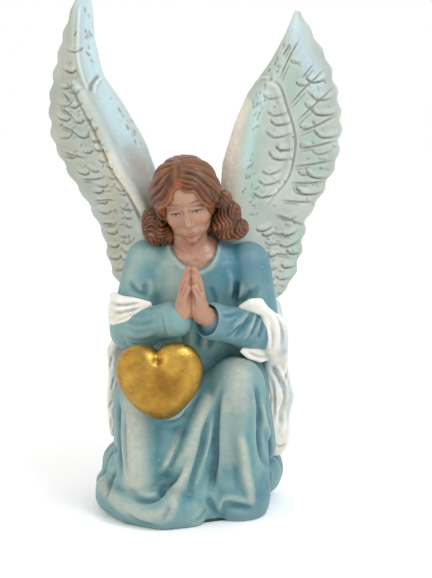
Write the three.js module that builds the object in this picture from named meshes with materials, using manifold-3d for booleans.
// A kneeling angel figurine, cast in resin in several pieces that are pinned and glued together.
// Millimetres, +Z up. The figure faces -Y. The origin is on the surface that the figure stands on, under the
// middle of its footprint. "Right" and "left" are the figure's own: its right hand is on the -X side.
import * as THREE from "three";
import { mergeVertices } from "three/addons/utils/BufferGeometryUtils.js";
import Module from "manifold-3d";

const wasm = await Module();
wasm.setup();

// ---- Driving dimensions ----
const GLUE_GAP = 0.3; // left between two castings that meet
const FELT_THICKNESS = 1.2;
const ROBE_BOTTOM = FELT_THICKNESS + GLUE_GAP;
const HEAD = { centre: [-1, -5, 147], bow: 22, tilt: -10, turn: -4 }; // degrees forward, and towards its right
const SKULL = { breadth: 25, depth: 30, height: 36 };
const HEART = { centre: [-12.3, -31.5, 68.5], width: 37.5, height: 33.5, depth: 15, lean: 8, roll: 4 };
const PALM_PLANE = 1.5; // x where the two palms touch
const HAND_LENGTH = 26;
const CUFF_CLEARANCE = 1.1; // between a wrist and the sleeve round it
const DOWEL_RADIUS = 1.5;
const DOWEL_CLEARANCE = 0.15; // round a dowel, filled with glue

// ---- Solids ----
const vector = (p) => new THREE.Vector3(...p);
const degrees = THREE.MathUtils.degToRad;

// A closed BufferGeometry as a solid that can be joined and cut, turned so that its faces point out.
function solid(geometry) {
  const bare = new THREE.BufferGeometry().setAttribute("position", geometry.getAttribute("position"));
  bare.setIndex(geometry.index);
  const merged = mergeVertices(bare, 1e-3);
  const triVerts = new Uint32Array(merged.index.array);
  const make = () =>
    new wasm.Manifold(new wasm.Mesh({ numProp: 3, vertProperties: merged.attributes.position.array, triVerts }));
  const made = make();
  if (made.volume() > 0) return made;
  for (let i = 0; i < triVerts.length; i += 3) {
    [triVerts[i + 1], triVerts[i + 2]] = [triVerts[i + 2], triVerts[i + 1]];
  }
  return make();
}

const joined = (solids) => solids.reduce((whole, next) => whole.add(next));
const cut = (whole, cutters) => cutters.reduce((left, cutter) => left.subtract(cutter), whole);

// The largest body of a solid, without the slivers that a grazing cut leaves.
const mainBody = (whole) => whole.decompose().reduce((most, body) => (body.volume() > most.volume() ? body : most));

// A turn about X, then Y, then Z, in degrees, followed by a move.
function placement(centre, turn = [0, 0, 0]) {
  const rotation = new THREE.Matrix4().makeRotationFromEuler(new THREE.Euler(...turn.map(degrees), "ZYX"));
  return rotation.setPosition(...centre);
}

// An ellipsoid. grow fattens it all round, and within places it in another piece's own frame.
function lump(centre, radii, { turn, grow = 0, within, around = 16, rows = 9 } = {}) {
  const ball = new THREE.SphereGeometry(1, around, rows).rotateX(Math.PI / 2);
  ball.scale(radii[0] + grow, radii[1] + grow, radii[2] + grow);
  ball.applyMatrix4(placement(centre, turn));
  return solid(within ? ball.applyMatrix4(within) : ball);
}

// A straight limb from a to b with round ends, with one radius at each end.
function limb(a, b, radiusA, radiusB, { grow = 0, within, around = 12, arcSteps = 3 } = {}) {
  const along = vector(b).sub(vector(a));
  const profile = [];
  const arc = (radius, height, from) => {
    for (let i = 0; i <= arcSteps; i++) {
      const q = from + (i / arcSteps) * (Math.PI / 2);
      profile.push(new THREE.Vector2(Math.cos(q) * (radius + grow), height + Math.sin(q) * (radius + grow)));
    }
  };
  arc(radiusA, 0, -Math.PI / 2);
  arc(radiusB, along.length(), 0);
  const turned = new THREE.LatheGeometry(profile, around);
  turned.applyQuaternion(new THREE.Quaternion().setFromUnitVectors(new THREE.Vector3(0, 1, 0), along.normalize()));
  turned.translate(...a);
  return solid(within ? turned.applyMatrix4(within) : turned);
}

// Limbs joined end to end: each stop is [x, y, z, radius].
function chain(stops, grow) {
  return joined(
    stops.slice(1).map((stop, i) =>
      limb(stops[i].slice(0, 3), stop.slice(0, 3), stops[i][3], stop[3], { grow, around: 8, arcSteps: 2 }),
    ),
  );
}

// Values that change with height: rows of [z, value, value, ...], joined by straight lines.
function track(rows) {
  const values = new THREE.LinearInterpolant(
    rows.map((row) => row[0]),
    rows.flatMap((row) => row.slice(1)),
    rows[0].length - 1,
  );
  return (z) => [...values.evaluate(z)];
}

// A closed form built up in level rings from one height to another: outline(angle, z) gives a ring's point as
// [x, y], and middle(z) the point where its end caps close.
function stack(around, levels, bottom, top, middle, outline) {
  const tube = new THREE.CylinderGeometry(1, 1, 1, around, levels);
  const points = tube.getAttribute("position");
  for (let i = 0; i < points.count; i++) {
    const z = bottom + (top - bottom) * (points.getY(i) + 0.5);
    const onRing = Math.hypot(points.getX(i), points.getZ(i)) > 0.5;
    const [x, y] = onRing ? outline(Math.atan2(points.getZ(i), points.getX(i)), z) : middle(z);
    points.setXYZ(i, x, y, z);
  }
  return solid(tube);
}

// A stack of ovals, with rows of [z, centre x, centre y, half breadth, half depth]. folds pleats each ring.
function ovals(rows, { around = 24, levels = 10, grow = 0, folds = () => 1 } = {}) {
  const at = track(rows);
  const outline = (angle, z) => {
    const [x, y, breadth, depth] = at(z);
    const pleat = folds(angle, z);
    return [x + Math.cos(angle) * (breadth + grow) * pleat, y + Math.sin(angle) * (depth + grow) * pleat];
  };
  return stack(around, levels, rows[0][0], rows.at(-1)[0], (z) => at(z).slice(0, 2), outline);
}

// ---- Robe: skirt, torso and upper arms in one casting ----
const SKIRT = [
  [ROBE_BOTTOM, -4, 5, 39, 33],
  [8, -4, 5, 41.5, 34.5],
  [20, -3, 7, 37, 33],
  [35, -1, 9, 31, 28],
  [50, 1, 8, 25, 21],
  [63, 2, 5, 19, 15],
];
const TORSO = [
  [46, 2, 5, 20, 15],
  [63, 2, 4, 18, 13.5],
  [80, 2.5, 3, 20.5, 14],
  [95, 3, 2, 23.5, 15],
  [108, 3.5, 2, 25, 15],
  [117, 3.5, 2, 25, 13.5],
  [123, 3.5, 2.5, 20, 11],
  [127, 3, 3, 12, 8.5],
];
const RAISED_KNEE = [
  [ROBE_BOTTOM, 20, -8, 18.5, 20],
  [20, 20.5, -9.5, 16, 18],
  [45, 21.5, -11.5, 15.5, 16.5],
  [62, 22, -13, 14.5, 15],
  [72, 21.5, -14.5, 11, 12],
  [77, 21, -15, 4, 5],
];
const SHOULDERS = { right: [-19, 2, 116.5], left: [27, 2, 115.5] };
const ELBOWS = { right: [-27, -6, 86], left: [32.5, -6, 86] };
const WRISTS = { right: [-9.5, -26, 93], left: [12.5, -26, 92] };
const UPPER_ARM_RADII = [10.5, 9.5];
const FOREARM_RADII = [9.3, 7.6];

const skirtPleats = (angle, z) => 1 + 0.035 * Math.cos(9 * angle + 1) * (1 - z / SKIRT.at(-1)[0]);

function robe(grow = 0) {
  return joined([
    ovals(SKIRT, { around: 40, levels: 7, folds: skirtPleats, grow }),
    ovals(TORSO, { around: 20, levels: 8, grow }),
    ovals(RAISED_KNEE, { around: 16, levels: 7, grow }),
    limb([21, -11, 60], [12, 14, 42], 15, 18, { grow, around: 14 }),
    lump([-19, -8, 24], [16.5, 20, 22], { grow }),
    lump([-9, -8, 52], [17, 15, 15], { grow }),
    limb(SHOULDERS.right, ELBOWS.right, ...UPPER_ARM_RADII, { grow }),
    limb(SHOULDERS.left, ELBOWS.left, ...UPPER_ARM_RADII, { grow }),
  ]);
}

// ---- Forearms: two sleeves with the wrists' openings ----
function forearm(side, grow = 0) {
  return limb(ELBOWS[side], WRISTS[side], ...FOREARM_RADII, { grow, around: 16, arcSteps: 4 });
}

// ---- Hands: palm to palm, with the fingers up and the little fingers in front ----
const FINGERS = [
  { y: -25.2, base: 0.36, tip: 0.86, radius: 1.6 },
  { y: -28.2, base: 0.36, tip: 0.97, radius: 1.65 },
  { y: -31.1, base: 0.34, tip: 0.89, radius: 1.6 },
  { y: -33.7, base: 0.3, tip: 0.67, radius: 1.45 },
];
const HAND_BOTTOM = 93;

function hand(side, grow) {
  const sign = side === "right" ? -1 : 1;
  const at = (offset, y, share) => [PALM_PLANE + sign * offset, y, HAND_BOTTOM + share * HAND_LENGTH];
  const options = { grow, around: 8, arcSteps: 2 };
  return joined([
    lump(at(3.6, -29.5, 0.22), [3.6, 6.2, 8], { turn: [0, -sign * 8, 0], grow, around: 12, rows: 7 }),
    ...FINGERS.map((f) => limb(at(3.2, f.y, f.base), at(1.5, f.y, f.tip), f.radius + 0.2, f.radius, options)),
    limb(at(3.6, -25.5, 0.2), at(2, -23.4, 0.58), 2.1, 1.6, options),
    limb(at(4.6, -28.5, 0.1), WRISTS[side], 4.6, 4.2, { grow, around: 10, arcSteps: 2 }),
  ]);
}

const hands = (grow = 0) => joined([hand("right", grow), hand("left", grow)]);

// ---- Head: face, neck and the part of the chest that the collar shows ----
const headFrame = placement(HEAD.centre, [HEAD.bow, HEAD.tilt, HEAD.turn]);
const { breadth, depth, height } = SKULL;

function head(grow = 0) {
  const own = { grow, within: headFrame };
  return joined([
    lump([0, 1, 0], [breadth / 2, depth / 2, height / 2], { ...own, around: 20, rows: 12 }),
    lump([0, -depth * 0.2, -height * 0.26], [breadth * 0.39, depth * 0.27, height * 0.24], own),
    limb([0, -depth * 0.46, 0], [0, -depth * 0.52, -height * 0.2], 1.2, 2, { ...own, around: 8 }),
    limb([2.5, 3, 112], [0, 0, 136], 8.6, 7.2, { grow, around: 16 }),
    lump([3.4, -5.2, 118.5], [10, 9.6, 9.5], { grow }),
  ]);
}

// ---- Hair: a cap that leaves the face free, with bunches of curls beside the neck ----
const HAIR_LOCKS = [
  { centre: [-16.5, -4, 136], radii: [6, 7, 8] },
  { centre: [-15, -3, 130], radii: [6.5, 6.5, 6] },
  { centre: [17.5, -4, 140], radii: [6, 7, 8] },
  { centre: [20, -2, 133], radii: [7.5, 6.5, 6.5] },
  { centre: [1, 8, 134], radii: [18, 8.5, 15] },
];

function hairMass(grow = 0) {
  const cap = lump([0, 2, 2], [17, 18, 18.5], { grow, within: headFrame, around: 20, rows: 12 });
  return joined([cap, ...HAIR_LOCKS.map(({ centre, radii }) => lump(centre, radii, { grow, around: 12, rows: 7 }))]);
}

function hair() {
  const faceWindow = lump([0, -17, -7], [11.2, 12, 16.5], { within: headFrame });
  const throat = lump([3.4, -12, 122], [9.5, 10, 12]);
  return cut(hairMass(), [faceWindow, throat, head(GLUE_GAP)]);
}

// ---- Wings: a thick leading edge, a ridge and a blade of feathers that sweeps out and back ----
// Rows run from the lowest feather to the tip: [z, lead x, lead y, ridge x, ridge y, trail x, trail y].
const WING_EDGES = {
  left: [
    [94, 32, 22, 34, 23, 42, 28],
    [104, 20, 18, 27, 21, 51, 32],
    [118, 14, 15, 24, 17, 55, 34],
    [132, 13, 14, 22, 14, 57, 35],
    [142, 14, 15, 22, 13, 64, 37],
    [160, 15.5, 18, 23, 14, 71, 40],
    [178, 21, 20, 27, 17, 73, 40],
    [192, 27, 22, 34, 20, 71, 40],
    [207, 38, 25, 43, 25, 67, 39],
    [218, 44, 28, 48, 28, 60, 37],
    [231, 49, 33, 50, 33, 52, 34],
  ],
  right: [
    [102, -25, 22, -28, 23, -35, 28],
    [112, -16, 18, -22, 20, -40, 32],
    [125, -13, 15, -20, 16, -43, 36],
    [139, -13, 14, -24, 13, -50, 39],
    [154, -14.5, 17, -32, 14, -60, 42],
    [170, -20, 19, -41, 17, -68, 44],
    [187, -30, 21, -48.5, 20, -69, 44],
    [201, -40, 24, -52, 25, -66, 42],
    [218, -44, 28, -54, 30, -61, 39],
    [231, -45, 32, -53, 34, -56, 38],
    [243, -47.5, 36, -49, 37, -50, 38],
  ],
};
const FEATHER_PITCH = 8; // between two feather tips on the trailing edge
const FEATHER_SCALLOP = 1.6;
const WING_ROOTS = { right: [-12, 13, 116], left: [13, 13, 115] };

// Half the wing's thickness, from its leading edge at share 0 to its feather tips at share 1.
const wingThickness = track([
  [0, 3.2],
  [0.3, 4],
  [0.55, 2.6],
  [0.8, 2],
  [1, 0.9],
]);

function wing(side, grow = 0) {
  const rows = WING_EDGES[side];
  const bottom = rows[0][0];
  const top = rows.at(-1)[0];
  const at = track(rows);
  const spot = (share, z) => {
    const [leadX, leadY, ridgeX, ridgeY, trailX, trailY] = at(z);
    const bend = new THREE.QuadraticBezierCurve(
      new THREE.Vector2(leadX, leadY),
      new THREE.Vector2(ridgeX, ridgeY - 3),
      new THREE.Vector2(trailX, trailY),
    );
    return { point: bend.getPoint(share), direction: bend.getTangent(share) };
  };
  const outline = (angle, z) => {
    const share = (1 - Math.cos(angle)) / 2;
    const { point, direction } = spot(share, z);
    const nearTip = Math.min(1, (top - z) / 25 + 0.3);
    const out = Math.sin(angle) * (wingThickness(share)[0] * nearTip + grow);
    const scallop = FEATHER_SCALLOP * share ** 8 * (Math.abs(Math.sin((Math.PI * (z - bottom)) / FEATHER_PITCH)) - 1);
    const reach = scallop - grow * Math.cos(angle);
    return [point.x + direction.x * reach - direction.y * out, point.y + direction.y * reach + direction.x * out];
  };
  const middle = (z) => {
    const { point } = spot(0.5, z);
    return [point.x, point.y];
  };
  return joined([
    stack(14, 34, bottom, top, middle, outline),
    lump(WING_ROOTS[side], [6.5, 7.5, 14], { grow, around: 12, rows: 8 }),
  ]);
}

// ---- Heart: a puffed heart that leans back on the lap ----
function heart(grow = 0) {
  const outline = (angle) => {
    const x = Math.sin(angle) ** 3;
    const z = (13 * Math.cos(angle) - 5 * Math.cos(2 * angle) - 2 * Math.cos(3 * angle) - Math.cos(4 * angle)) / 14.5;
    return [x, z + 0.17];
  };
  const puff = new THREE.CylinderGeometry(1, 1, 1, 32, 8);
  const points = puff.getAttribute("position");
  for (let i = 0; i < points.count; i++) {
    const latitude = points.getY(i) * Math.PI;
    const [x, z] = outline(Math.atan2(points.getZ(i), points.getX(i)));
    const size = Math.hypot(points.getX(i), points.getZ(i)) > 0.5 ? Math.max(0.05, Math.cos(latitude)) ** 0.55 : 0;
    points.setXYZ(
      i,
      x * size * (HEART.width / 2 + grow),
      (-Math.sin(latitude) * (HEART.depth + 2 * grow)) / 2,
      z * size * (HEART.height / 2 + grow),
    );
  }
  puff.applyMatrix4(placement(HEART.centre, [HEART.lean, HEART.roll, 0]));
  return solid(puff);
}

// ---- Shawl: a wrap over each elbow with a tail below it, joined by a swag behind the waist ----
const SHAWL_RIGHT_TAIL = [
  [-35, 0, 92, 3.5],
  [-37.5, 5, 78, 3.4],
  [-38, 9, 62, 3.6],
  [-37.5, 11, 46, 3.4],
  [-36.5, 11, 32, 2.2],
];
const SHAWL_LEFT_TAIL = [
  [22.5, -15.5, 100, 3],
  [30.5, -12, 101, 4.6],
  [38.5, -4.5, 97, 5],
  [43, 3, 82, 4.4],
  [41.5, 6, 70, 4],
  [43.5, 9, 55, 5],
  [43, 10, 40, 4.2],
  [42.5, 10, 25, 3.2],
];
const SHAWL_LEFT_FOLD = [
  [25, -16, 78, 2.6],
  [33, -9.5, 74, 3.6],
  [41, 4, 74, 4],
];
const SHAWL_SWAG = [
  [-33, 9, 88, 4],
  [-22, 17, 82, 5],
  [-9, 20.5, 78, 5.5],
  [3, 21.5, 76, 5.5],
  [15, 20.5, 78, 5.5],
  [27, 17, 82, 5],
  [37, 10, 88, 4],
];

function shawlRight(grow = 0) {
  return joined([
    lump([-28.5, -7.5, 94], [10, 11, 9.5], { turn: [0, 22, 0], grow }),
    chain(SHAWL_RIGHT_TAIL, grow),
  ]);
}

const shawlLeft = (grow = 0) => joined([chain(SHAWL_LEFT_TAIL, grow), chain(SHAWL_LEFT_FOLD, grow)]);
const shawlSwag = (grow = 0) => chain(SHAWL_SWAG, grow);

// ---- Felt pad under the robe ----
function felt() {
  const outline = new THREE.Shape().absellipse(-3, 5, 36, 30, 0, 2 * Math.PI);
  return solid(new THREE.ExtrudeGeometry(outline, { depth: FELT_THICKNESS, bevelEnabled: false, curveSegments: 24 }));
}

// ---- Dowels: steel pins, half in one casting and half in the next ----
const DOWELS = {
  right_wing_upper_dowel: [[-9, 4, 120], [-12.5, 17, 120]],
  right_wing_lower_dowel: [[-9, 5, 111], [-12.5, 18, 111]],
  left_wing_upper_dowel: [[11, 4, 119], [13.5, 17, 119]],
  left_wing_lower_dowel: [[11, 5, 110], [13.5, 18, 110]],
  neck_dowel: [[2.5, 3, 98], [2.5, 3, 114]],
  right_arm_dowel: [[-25.5, -4, 100], [-26.8, -6, 86]],
  left_arm_dowel: [[31.5, -4, 100], [32.4, -6, 86]],
  heart_dowel: [[-11, -14, 63], [-12, -29, 67]],
};

function dowel([from, to], grow = 0) {
  const along = vector(to).sub(vector(from));
  const pin = new THREE.CylinderGeometry(DOWEL_RADIUS + grow, DOWEL_RADIUS + grow, along.length() + 2 * grow, 12);
  pin.applyQuaternion(new THREE.Quaternion().setFromUnitVectors(new THREE.Vector3(0, 1, 0), along.normalize()));
  const middle = vector(from).add(vector(to)).multiplyScalar(0.5);
  return solid(pin.translate(...middle));
}

// ---- The pieces, each cut back from those that it meets ----
const bores = joined(Object.values(DOWELS).map((ends) => dowel(ends, DOWEL_CLEARANCE)));
const grown = {
  heart: heart(GLUE_GAP),
  hands: hands(GLUE_GAP),
  head: head(GLUE_GAP),
  hair: hairMass(GLUE_GAP),
  wings: joined([wing("right", GLUE_GAP), wing("left", GLUE_GAP)]),
  forearms: joined([forearm("right", GLUE_GAP), forearm("left", GLUE_GAP)]),
  robe: robe(GLUE_GAP),
  shawlEnds: joined([shawlRight(GLUE_GAP), shawlLeft(GLUE_GAP)]),
};
const cuffMouths = hands(CUFF_CLEARANCE);
const underShawl = [grown.robe, grown.forearms, grown.wings, grown.heart, grown.hands];

const finishes = {
  robe: { color: 0x5f97a6, roughness: 0.55, metalness: 0 },
  skin: { color: 0xe3b39a, roughness: 0.5, metalness: 0 },
  hair: { color: 0x7a4a35, roughness: 0.4, metalness: 0 },
  feather: { color: 0xd3d8cd, roughness: 0.7, metalness: 0 },
  shawl: { color: 0xe4ddd2, roughness: 0.6, metalness: 0 },
  gold: { color: 0xc4922e, roughness: 0.32, metalness: 1 },
  felt: { color: 0x2e4a3d, roughness: 0.95, metalness: 0 },
  steel: { color: 0xb9bcc0, roughness: 0.35, metalness: 1 },
};

const figurine = new THREE.Group();

function add(name, finish, piece) {
  const { vertProperties, triVerts } = piece.getMesh();
  const geometry = new THREE.BufferGeometry();
  geometry.setAttribute("position", new THREE.BufferAttribute(vertProperties, 3));
  geometry.setIndex(new THREE.BufferAttribute(triVerts, 1));
  geometry.computeVertexNormals();
  const mesh = new THREE.Mesh(geometry, new THREE.MeshStandardMaterial(finishes[finish]));
  mesh.name = name;
  figurine.add(mesh);
}

const robeCutters = [grown.hands, grown.heart, grown.head, grown.hair, grown.wings, grown.forearms, bores];
add("robe_body", "robe", mainBody(cut(robe(), robeCutters)));
add("right_forearm_sleeve", "robe", cut(forearm("right"), [cuffMouths, grown.heart, bores]));
add("left_forearm_sleeve", "robe", cut(forearm("left"), [cuffMouths, grown.heart, bores]));
add("praying_hands", "skin", hands());
add("head_and_neck", "skin", cut(head(), [bores]));
add("hair_and_curls", "hair", hair());
add("right_wing", "feather", cut(wing("right"), [grown.hair, grown.head, bores]));
add("left_wing", "feather", cut(wing("left"), [grown.hair, grown.head, bores]));
add("golden_heart", "gold", cut(heart(), [bores]));
add("shawl_right_wrap_and_tail", "shawl", cut(shawlRight(), underShawl));
add("shawl_left_wrap_and_tail", "shawl", cut(shawlLeft(), underShawl));
add("shawl_back_swag", "shawl", cut(shawlSwag(), [...underShawl, grown.shawlEnds]));
add("felt_pad", "felt", felt());
for (const [name, ends] of Object.entries(DOWELS)) add(name, "steel", dowel(ends));

export default figurine;
